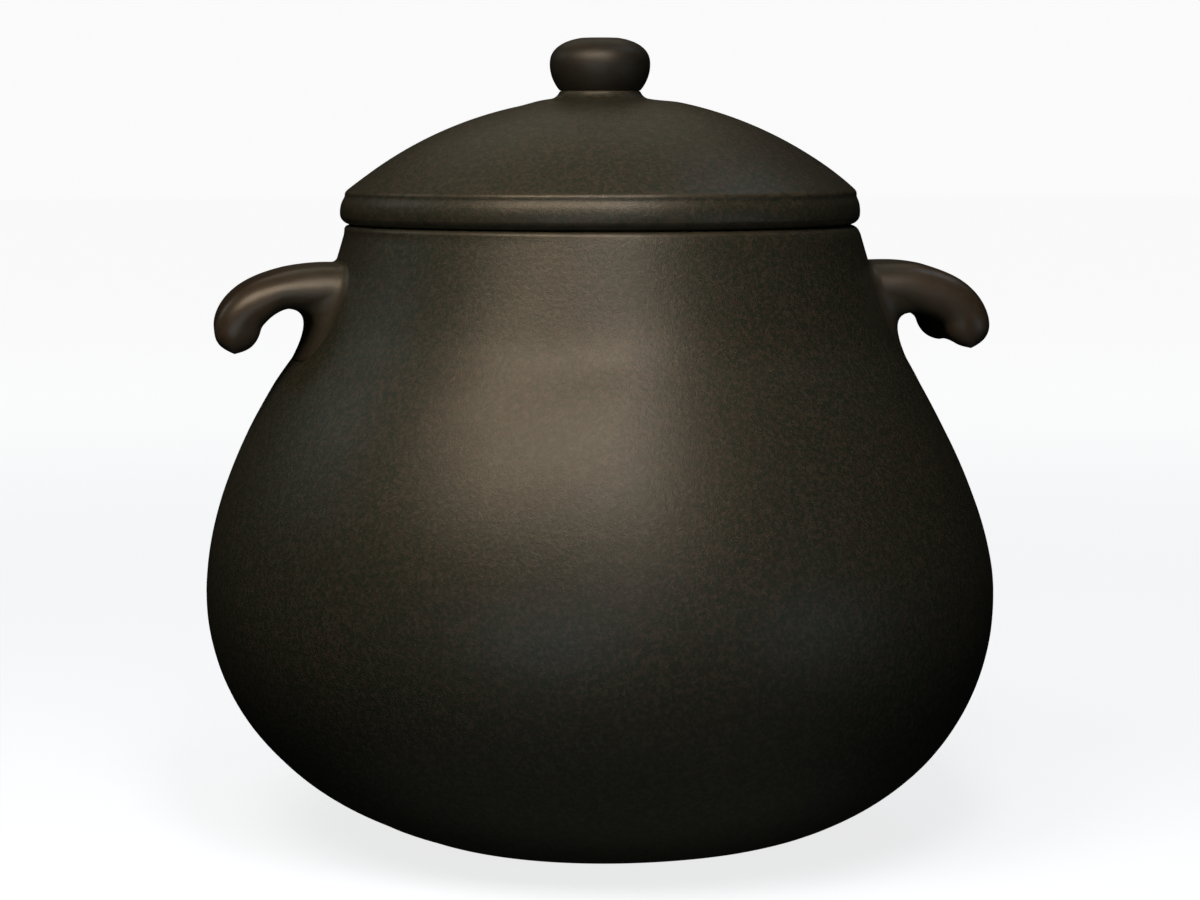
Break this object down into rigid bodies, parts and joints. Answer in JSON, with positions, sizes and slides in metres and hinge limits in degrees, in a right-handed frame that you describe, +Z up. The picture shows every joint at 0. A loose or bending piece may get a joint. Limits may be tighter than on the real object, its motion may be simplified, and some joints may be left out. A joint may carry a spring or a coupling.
{
  "type": "chinese sand pot",
  "caption": "Round-bellied clay stew pot with curled strap handles, a glazed inside and a domed lid with a turned knob that lifts straight off.",
  "frame": {"origin": "centre of the ring that the pot stands on, on the table", "axes": "+Z up through the lid's knob, X along the two handles, with the right handle at +X, -Y towards the viewer of the picture"},
  "size_m": [0.29, 0.29, 0.2937],
  "materials": {
    "clay": "satin black-brown fired clay with a fine sandy grain",
    "smoothed_clay": "the same clay, worked smooth and a little glossier",
    "bare_clay": "unglazed matte fired clay",
    "glaze": "gloss dark brown glaze"
  },
  "bodies": {
    "pot": {"pot_body": "clay", "glaze_lining": "glaze", "left_handle": "smoothed_clay", "right_handle": "smoothed_clay"},
    "lid": {"lid_shell": "clay", "lid_ring": "bare_clay", "knob": "smoothed_clay"}
  },
  "joints": [
    {"name": "lid_lift", "type": "slide", "parent": "pot", "child": "lid", "axis": [0, 0, 1], "range_m": [0, 0.16]}
  ]
}
